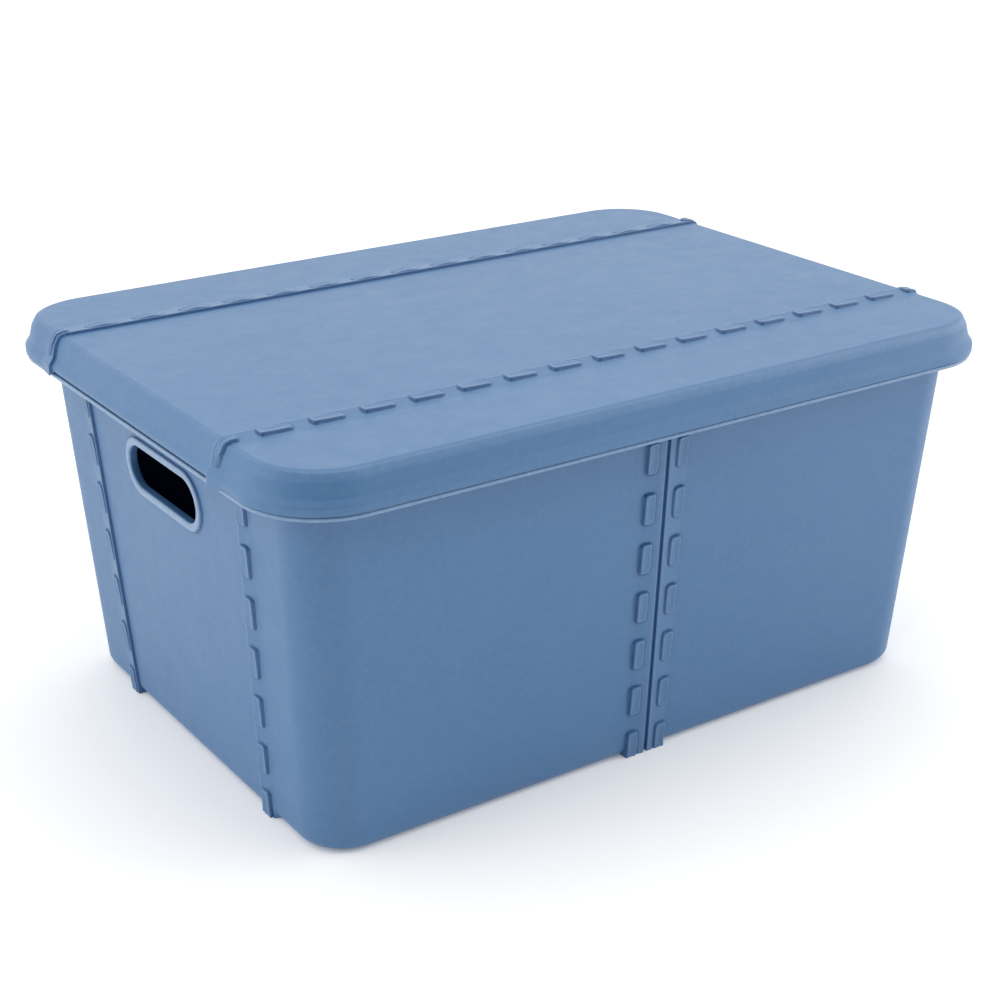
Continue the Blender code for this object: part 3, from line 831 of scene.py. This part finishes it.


# Material: satin dusty-blue plastic with a fine grain, a painted highlight on raised edges and painted shade
# in hollows

class Nodes:
    """Short calls to make and join shader nodes."""

    def __init__(self, material):
        self.tree = material.node_tree

    def socket(self, node, key):
        """A node's input by its name, with _ for a space, or as i and its number."""
        if key[0] == "i" and key[1:].isdigit():
            return node.inputs[int(key[1:])]
        return node.inputs[key.replace("_", " ")]

    def add(self, kind, settings=None, **inputs):
        """A node with its properties and its inputs set or linked."""
        node = self.tree.nodes.new(kind)
        for key, value in (settings or {}).items():
            setattr(node, key, value)
        for key, value in inputs.items():
            if isinstance(value, bpy.types.NodeSocket):
                self.tree.links.new(value, self.socket(node, key))
            else:
                self.socket(node, key).default_value = value
        return node

    def noise(self, place, scale, detail, roughness):
        node = self.add('ShaderNodeTexNoise', i0=place, Scale=scale, Detail=detail, Roughness=roughness)
        return node.outputs[0]

    def math(self, operation, *values):
        inputs = {"i" + str(number): value for number, value in enumerate(values)}
        return self.add('ShaderNodeMath', {"operation": operation}, **inputs).outputs[0]

    def shade(self, name):
        """A mesh's own shade, stored at its points."""
        return self.add('ShaderNodeAttribute', {"attribute_name": name}).outputs['Fac']

    def ramp(self, factor, start, end, low=0.0, high=1.0):
        """A clamped linear map of factor from [start, end] to [low, high]."""
        node = self.add('ShaderNodeMapRange', i0=factor, i1=start, i2=end, i3=low, i4=high)
        return node.outputs[0]

    def mix(self, factor, first, second):
        return self.add('ShaderNodeMix', {"data_type": 'RGBA'}, i0=factor, i6=first, i7=second).outputs[2]


BLUE = (0.068, 0.182, 0.374, 1.0)
BLUE_DEEP = (0.061, 0.170, 0.358, 1.0)
BLUE_PALE = (0.088, 0.208, 0.402, 1.0)
# painted highlight colour
PAINTED_HIGHLIGHT_BLUE = (0.215, 0.345, 0.540, 1.0)
# painted shade colour
PAINTED_SHADE_BLUE = (0.030, 0.110, 0.285, 1.0)
SHEEN = 0.6


def plastic(name, seed):
    material = bpy.data.materials.new(name)
    material.use_nodes = True
    nodes = Nodes(material)
    shader = material.node_tree.nodes['Principled BSDF']
    place = nodes.add('ShaderNodeTexCoord').outputs['Object']
    moved = nodes.add('ShaderNodeMapping', i0=place, i1=(seed, seed * 0.7, seed * 0.3)).outputs[0]
    mottle = nodes.noise(moved, 240.0, 4.0, 0.65)
    grain = nodes.noise(moved, 1500.0, 2.0, 0.6)
    # mask of the painted highlight, stored at the mesh's points
    edge = nodes.shade("edge")
    nodes.tree.links.new(plastic_colour(nodes, moved, mottle, grain, edge), shader.inputs['Base Color'])
    nodes.tree.links.new(plastic_roughness(nodes, moved, edge), shader.inputs['Roughness'])
    nodes.tree.links.new(plastic_normal(nodes, moved, grain), shader.inputs['Normal'])
    shader.inputs['Specular IOR Level'].default_value = SHEEN
    shader.inputs['IOR'].default_value = 1.47
    return material


def plastic_colour(nodes, place, mottle, grain, edge):
    """Blue that varies slowly and in fine mottling and grain, with a patchy painted highlight on raised edges
    and painted shade in hollows.
    """
    clouds = nodes.noise(place, 7.0, 4.0, 0.55)
    colour = nodes.mix(nodes.ramp(clouds, 0.35, 0.65), BLUE, BLUE_DEEP)
    colour = nodes.mix(nodes.ramp(mottle, 0.42, 0.66, high=0.45), colour, BLUE_PALE)
    colour = nodes.mix(nodes.ramp(grain, 0.45, 0.70, high=0.50), colour, BLUE_PALE)
    # the painted highlight, broken up by the mottling
    patchy_highlight = nodes.math('MULTIPLY', edge, nodes.ramp(mottle, 0.35, 0.6, low=0.7))
    colour = nodes.mix(nodes.ramp(patchy_highlight, 0.0, 2.0, high=0.80), colour, PAINTED_HIGHLIGHT_BLUE)
    # painted shade in the hollows, from the mesh's mark
    return nodes.mix(nodes.ramp(nodes.shade("painted_shade"), 0.0, 1.0, high=0.85), colour, PAINTED_SHADE_BLUE)


def plastic_roughness(nodes, place, edge):
    """Satin with faint scuffs, and smoother where the edge highlight is painted."""
    stretched = nodes.add('ShaderNodeMapping', i0=place, i3=(0.8, 1.0, 1.0)).outputs[0]
    scuffs = nodes.noise(stretched, 60.0, 5.0, 0.7)
    plain = nodes.ramp(scuffs, 0.30, 0.7, low=0.40, high=0.50)
    highlight_gloss = nodes.ramp(edge, 0.0, 2.0, high=0.22)
    return nodes.math('SUBTRACT', plain, highlight_gloss)


def plastic_normal(nodes, place, grain):
    """A fine grain with specks, on slow waves of the moulded surface."""
    specks = nodes.add('ShaderNodeTexVoronoi', i0=place, Scale=900.0).outputs[0]
    height = nodes.math('MULTIPLY_ADD', specks, 0.6, grain)
    fine = nodes.add('ShaderNodeBump', Strength=0.26, Distance=0.08 * MM, Height=height).outputs[0]
    waves = nodes.noise(place, 26.0, 2.0, 0.5)
    return nodes.add('ShaderNodeBump', Strength=0.18, Distance=0.6 * MM, Height=waves, Normal=fine).outputs[0]


def dress(thing, node, material):
    thing.data.materials.append(material)
    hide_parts(node)
    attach(thing, node)


# Stage, lights and camera

# The camera as fitted to the photo: AZIMUTH is round from the front, and it looks at the point that is
# AIM_RIGHT and AIM_UP from the origin in the picture's own directions
AZIMUTH = math.radians(-34.38)
ELEVATION = math.radians(22.47)
DISTANCE = 1.3505
AIM_RIGHT = 0.4 * MM
AIM_UP = 110.8 * MM
LENS = 67.62                   # mm, over a sensor of SENSOR mm
SENSOR = 36.0

# The room: bright all round, and dark low on the side that the camera is on
ROOM_BRIGHT = 1.30
ROOM_DARK = 0.0
ROOM_COLOUR = (1.0, 0.985, 0.96, 1.0)
DARK_TURN = math.radians(4)    # middle of the dark side, from the camera
DARK_RISE = math.radians(-4)
DARK_EDGES = (0.10, 0.78)      # cosines from its middle at which it starts and is full

FLOOR_HALF = 14.0
FLOOR_GAP = 0.2 * MM           # floor under the crate
FLOOR_GLOW = 0.16
FLOOR_GREY = (0.93, 0.93, 0.93, 1.0)
FLOOR_PALE = (0.95, 0.95, 0.95, 1.0)


def look_from(azimuth, elevation):
    """Directions of a view: back towards the eye, right and up."""
    back = Vector((math.sin(azimuth) * math.cos(elevation), -math.cos(azimuth) * math.cos(elevation),
                   math.sin(elevation)))
    right = Vector((math.cos(azimuth), math.sin(azimuth), 0.0))
    return back, right, back.cross(right)


def add_camera():
    back, right, up = look_from(AZIMUTH, ELEVATION)
    data = bpy.data.cameras.new("camera")
    data.lens = LENS
    data.sensor_width = SENSOR
    data.clip_end = 50
    camera = bpy.data.objects.new("camera", data)
    camera.location = back * DISTANCE + right * AIM_RIGHT + up * AIM_UP
    camera.rotation_euler = back.to_track_quat('Z', 'Y').to_euler()
    bpy.context.scene.collection.objects.link(camera)
    bpy.context.scene.camera = camera


def softbox(name, azimuth, elevation, distance, width, height, power):
    """A rectangular light in a direction (degrees) from the crate's middle, facing it."""
    back, _, _ = look_from(math.radians(azimuth), math.radians(elevation))
    data = bpy.data.lights.new(name, 'AREA')
    data.shape = 'RECTANGLE'
    data.size = width
    data.size_y = height
    data.energy = power
    light = bpy.data.objects.new(name, data)
    light.location = back * distance + Vector((0, 0, HEIGHT / 2))
    light.rotation_euler = back.to_track_quat('Z', 'Y').to_euler()
    bpy.context.scene.collection.objects.link(light)


def add_floor():
    mesh = bpy.data.meshes.new("floor")
    corners = [(FLOOR_HALF * sx, FLOOR_HALF * sy, 0) for sx, sy in ((-1, -1), (1, -1), (1, 1), (-1, 1))]
    mesh.from_pydata(corners, [], [(0, 1, 2, 3)])
    floor = bpy.data.objects.new("floor", mesh)
    floor.location.z = -FLOOR_GAP
    bpy.context.scene.collection.objects.link(floor)
    material = bpy.data.materials.new("floor_pale")
    material.use_nodes = True
    nodes = Nodes(material)
    shader = material.node_tree.nodes['Principled BSDF']
    noise = nodes.add('ShaderNodeTexNoise', Scale=3.0, Detail=2.0).outputs[0]
    colour = nodes.mix(nodes.ramp(noise, 0.3, 0.7), FLOOR_GREY, FLOOR_PALE)
    nodes.tree.links.new(colour, shader.inputs['Base Color'])
    shader.inputs['Roughness'].default_value = 0.9
    shader.inputs['Specular IOR Level'].default_value = 0.1
    shader.inputs['Emission Color'].default_value = (1.0, 1.0, 1.0, 1.0)
    shader.inputs['Emission Strength'].default_value = FLOOR_GLOW
    mesh.materials.append(material)


def add_world():
    """A white room that is dark low on the camera's side."""
    world = bpy.data.worlds.new("studio")
    bpy.context.scene.world = world
    world.use_nodes = True
    nodes = Nodes(world)
    direction = nodes.add('ShaderNodeTexCoord').outputs['Generated']
    dark_side, _, _ = look_from(AZIMUTH + DARK_TURN, DARK_RISE)
    toward = nodes.add('ShaderNodeVectorMath', {"operation": 'DOT_PRODUCT'}, i0=direction, i1=dark_side)
    strength = nodes.ramp(toward.outputs['Value'], *DARK_EDGES, low=ROOM_BRIGHT, high=ROOM_DARK)
    background = world.node_tree.nodes['Background']
    background.inputs['Color'].default_value = ROOM_COLOUR
    world.node_tree.links.new(strength, background.inputs['Strength'])


dress(build_tub(), "tub", plastic("tub_plastic_fine", 0.0))
dress(build_lid(), "lid", plastic("lid_plastic_fine", 3.1))
bpy.context.scene.view_settings.view_transform = 'Standard'
add_camera()
add_floor()
add_world()
softbox("overhead", azimuth=-20, elevation=62, distance=2.4, width=2.2, height=1.6, power=6)
softbox("left", azimuth=-104, elevation=24, distance=2.4, width=1.4, height=1.4, power=7)
softbox("right", azimuth=56, elevation=16, distance=1.25, width=0.6, height=0.9, power=2.2)
softbox("spark", azimuth=-50, elevation=42, distance=2.0, width=0.12, height=0.12, power=1.2)
